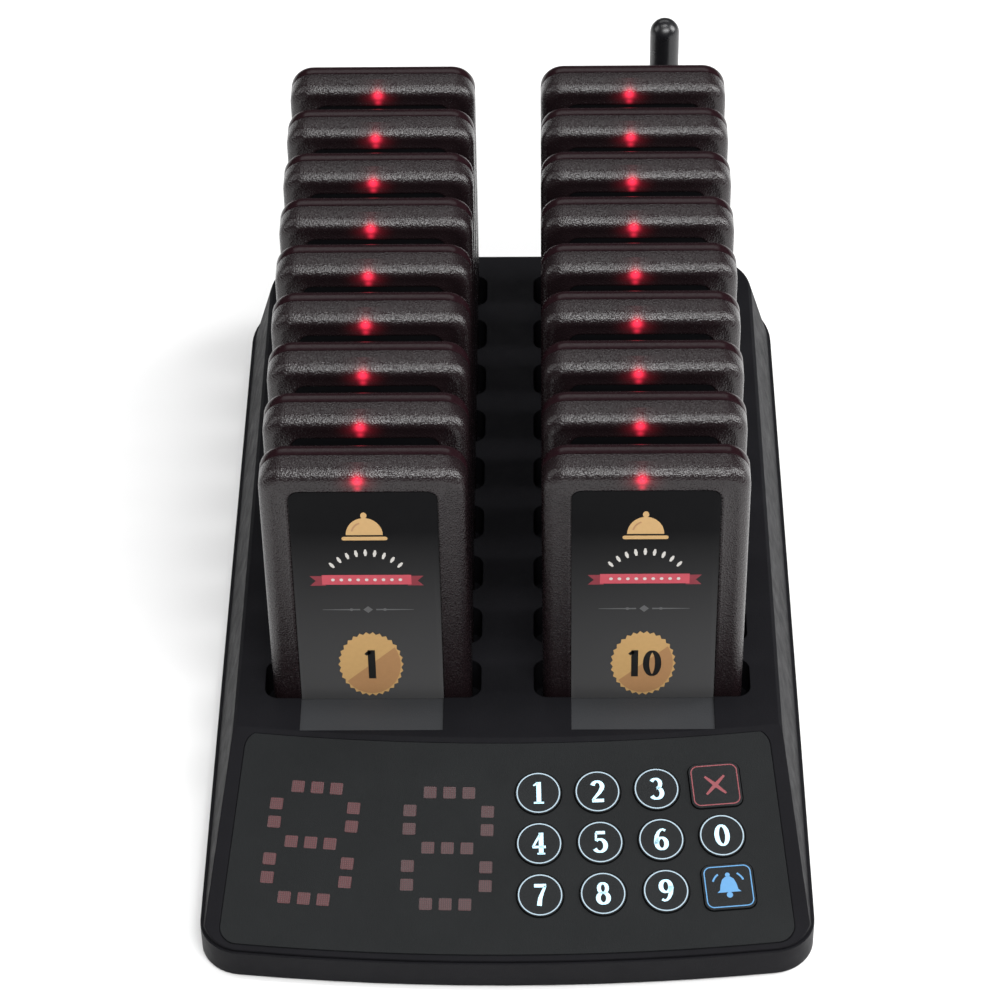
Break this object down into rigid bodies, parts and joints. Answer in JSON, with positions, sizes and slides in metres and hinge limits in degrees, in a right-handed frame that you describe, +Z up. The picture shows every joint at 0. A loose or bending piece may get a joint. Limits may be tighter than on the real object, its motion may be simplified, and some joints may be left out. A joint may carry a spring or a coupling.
{
  "type": "restaurant guest-paging set",
  "caption": "Desk-top charging and calling base with a sloping keypad, a dot display, a folding antenna and two rows of slots that hold lift-out pagers.",
  "frame": {"origin": "under the middle of the whole set, upright antenna included, on the surface that its rubber feet stand on", "axes": "+X to the right, +Y from the keypad to the rear wall, +Z up"},
  "size_m": [0.167, 0.2974, 0.1147],
  "materials": {
    "base_plastic": "fine matt texture",
    "overlay_film": "textured polycarbonate film",
    "key_plastic": "smooth satin with a printed ring",
    "pager_smoke": "smoky translucent plastic with a leather-like grain",
    "label_print": "printed gloss label",
    "lamp_red": "lit lamp",
    "display_red": "unlit red dots",
    "antenna_plastic": "satin black",
    "rubber": "matt",
    "steel": "plated",
    "switch_metal": "plated",
    "gold_contact": "plated contact",
    "circuit_board": "solder mask",
    "connector_plastic": "moulded",
    "cable_plastic": "ribbon insulation",
    "battery_wrap": "foil pouch"
  },
  "bodies": {
    "base": {"base_bottom_tray": "base_plastic", "base_top_shell": "base_plastic", "panel_overlay": "overlay_film", "rubber_feet": "rubber", "case_screws": "steel", "main_board": "circuit_board", "key_switches": "switch_metal", "display_digit_left": "display_red", "display_digit_right": "display_red", "charging_board_left": "circuit_board", "charging_board_right": "circuit_board", "charging_studs_left": "gold_contact", "charging_studs_right": "gold_contact", "radio_module": "circuit_board", "antenna_jack": "gold_contact", "dc_inlet": "connector_plastic", "ribbon_cable": "cable_plastic", "board_screws": "steel"},
    "antenna_knuckle": {"antenna_knuckle": "antenna_plastic"},
    "antenna_whip": {"antenna_whip": "antenna_plastic"},
    "key_1": {"key_1": "key_plastic"},
    "key_2": {"key_2": "key_plastic"},
    "key_3": {"key_3": "key_plastic"},
    "key_delete": {"key_delete": "key_plastic"},
    "key_4": {"key_4": "key_plastic"},
    "key_5": {"key_5": "key_plastic"},
    "key_6": {"key_6": "key_plastic"},
    "key_0": {"key_0": "key_plastic"},
    "key_7": {"key_7": "key_plastic"},
    "key_8": {"key_8": "key_plastic"},
    "key_9": {"key_9": "key_plastic"},
    "key_call": {"key_call": "key_plastic"},
    "pager_01": {"pager_01_front_case": "pager_smoke", "pager_01_rear_case": "pager_smoke", "pager_01_label": "label_print", "pager_01_board": "circuit_board", "pager_01_lamp": "lamp_red", "pager_01_battery": "battery_wrap", "pager_01_motor": "steel", "pager_01_contacts": "gold_contact", "pager_01_screws": "steel"},
    "pager_02": {"pager_02": "pager_smoke"},
    "pager_03": {"pager_03": "pager_smoke"},
    "pager_04": {"pager_04": "pager_smoke"},
    "pager_05": {"pager_05": "pager_smoke"},
    "pager_06": {"pager_06": "pager_smoke"},
    "pager_07": {"pager_07": "pager_smoke"},
    "pager_08": {"pager_08": "pager_smoke"},
    "pager_09": {"pager_09": "pager_smoke"},
    "pager_10": {"pager_10": "pager_smoke"},
    "pager_11": {"pager_11": "pager_smoke"},
    "pager_12": {"pager_12": "pager_smoke"},
    "pager_13": {"pager_13": "pager_smoke"},
    "pager_14": {"pager_14": "pager_smoke"},
    "pager_15": {"pager_15": "pager_smoke"},
    "pager_16": {"pager_16": "pager_smoke"},
    "pager_17": {"pager_17": "pager_smoke"},
    "pager_18": {"pager_18": "pager_smoke"}
  },
  "joints": [
    {"name": "antenna_swivel", "type": "hinge", "parent": "base", "child": "antenna_knuckle", "pos_m": [0.0485, 0.1363, 0.02], "axis": [0, 1, 0], "range_deg": [-90, 90]},
    {"name": "antenna_tilt", "type": "hinge", "parent": "antenna_knuckle", "child": "antenna_whip", "pos_m": [0.0485, 0.1438, 0.02], "axis": [-1, 0, 0], "range_deg": [0, 90]},
    {"name": "key_1_press", "type": "slide", "parent": "base", "child": "key_1", "axis": [-0.0045, 0.3057, -0.9521], "range_m": [0, 0.0006], "stiffness_N_per_m": 900, "springref_m": -0.0008},
    {"name": "key_2_press", "type": "slide", "parent": "base", "child": "key_2", "axis": [-0.0129, 0.3054, -0.9521], "range_m": [0, 0.0006], "stiffness_N_per_m": 900, "springref_m": -0.0008},
    {"name": "key_3_press", "type": "slide", "parent": "base", "child": "key_3", "axis": [-0.0214, 0.3049, -0.9521], "range_m": [0, 0.0006], "stiffness_N_per_m": 900, "springref_m": -0.0008},
    {"name": "key_delete_press", "type": "slide", "parent": "base", "child": "key_delete", "axis": [-0.0298, 0.3042, -0.9521], "range_m": [0, 0.0006], "stiffness_N_per_m": 900, "springref_m": -0.0008},
    {"name": "key_4_press", "type": "slide", "parent": "base", "child": "key_4", "axis": [-0.0045, 0.3057, -0.9521], "range_m": [0, 0.0006], "stiffness_N_per_m": 900, "springref_m": -0.0008},
    {"name": "key_5_press", "type": "slide", "parent": "base", "child": "key_5", "axis": [-0.0129, 0.3054, -0.9521], "range_m": [0, 0.0006], "stiffness_N_per_m": 900, "springref_m": -0.0008},
    {"name": "key_6_press", "type": "slide", "parent": "base", "child": "key_6", "axis": [-0.0214, 0.3049, -0.9521], "range_m": [0, 0.0006], "stiffness_N_per_m": 900, "springref_m": -0.0008},
    {"name": "key_0_press", "type": "slide", "parent": "base", "child": "key_0", "axis": [-0.0298, 0.3042, -0.9521], "range_m": [0, 0.0006], "stiffness_N_per_m": 900, "springref_m": -0.0008},
    {"name": "key_7_press", "type": "slide", "parent": "base", "child": "key_7", "axis": [-0.0045, 0.3057, -0.9521], "range_m": [0, 0.0006], "stiffness_N_per_m": 900, "springref_m": -0.0008},
    {"name": "key_8_press", "type": "slide", "parent": "base", "child": "key_8", "axis": [-0.0129, 0.3054, -0.9521], "range_m": [0, 0.0006], "stiffness_N_per_m": 900, "springref_m": -0.0008},
    {"name": "key_9_press", "type": "slide", "parent": "base", "child": "key_9", "axis": [-0.0214, 0.3049, -0.9521], "range_m": [0, 0.0006], "stiffness_N_per_m": 900, "springref_m": -0.0008},
    {"name": "key_call_press", "type": "slide", "parent": "base", "child": "key_call", "axis": [-0.0298, 0.3042, -0.9521], "range_m": [0, 0.0006], "stiffness_N_per_m": 900, "springref_m": -0.0008},
    {"name": "pager_01_lift", "type": "slide", "parent": "base", "child": "pager_01", "axis": [0, 0, 1], "range_m": [0, 0.1]},
    {"name": "pager_02_lift", "type": "slide", "parent": "base", "child": "pager_02", "axis": [0, 0, 1], "range_m": [0, 0.1]},
    {"name": "pager_03_lift", "type": "slide", "parent": "base", "child": "pager_03", "axis": [0, 0, 1], "range_m": [0, 0.1]},
    {"name": "pager_04_lift", "type": "slide", "parent": "base", "child": "pager_04", "axis": [0, 0, 1], "range_m": [0, 0.1]},
    {"name": "pager_05_lift", "type": "slide", "parent": "base", "child": "pager_05", "axis": [0, 0, 1], "range_m": [0, 0.1]},
    {"name": "pager_06_lift", "type": "slide", "parent": "base", "child": "pager_06", "axis": [0, 0, 1], "range_m": [0, 0.1]},
    {"name": "pager_07_lift", "type": "slide", "parent": "base", "child": "pager_07", "axis": [0, 0, 1], "range_m": [0, 0.1]},
    {"name": "pager_08_lift", "type": "slide", "parent": "base", "child": "pager_08", "axis": [0, 0, 1], "range_m": [0, 0.1]},
    {"name": "pager_09_lift", "type": "slide", "parent": "base", "child": "pager_09", "axis": [0, 0, 1], "range_m": [0, 0.1]},
    {"name": "pager_10_lift", "type": "slide", "parent": "base", "child": "pager_10", "axis": [0, 0, 1], "range_m": [0, 0.1]},
    {"name": "pager_11_lift", "type": "slide", "parent": "base", "child": "pager_11", "axis": [0, 0, 1], "range_m": [0, 0.1]},
    {"name": "pager_12_lift", "type": "slide", "parent": "base", "child": "pager_12", "axis": [0, 0, 1], "range_m": [0, 0.1]},
    {"name": "pager_13_lift", "type": "slide", "parent": "base", "child": "pager_13", "axis": [0, 0, 1], "range_m": [0, 0.1]},
    {"name": "pager_14_lift", "type": "slide", "parent": "base", "child": "pager_14", "axis": [0, 0, 1], "range_m": [0, 0.1]},
    {"name": "pager_15_lift", "type": "slide", "parent": "base", "child": "pager_15", "axis": [0, 0, 1], "range_m": [0, 0.1]},
    {"name": "pager_16_lift", "type": "slide", "parent": "base", "child": "pager_16", "axis": [0, 0, 1], "range_m": [0, 0.1]},
    {"name": "pager_17_lift", "type": "slide", "parent": "base", "child": "pager_17", "axis": [0, 0, 1], "range_m": [0, 0.1]},
    {"name": "pager_18_lift", "type": "slide", "parent": "base", "child": "pager_18", "axis": [0, 0, 1], "range_m": [0, 0.1]}
  ]
}
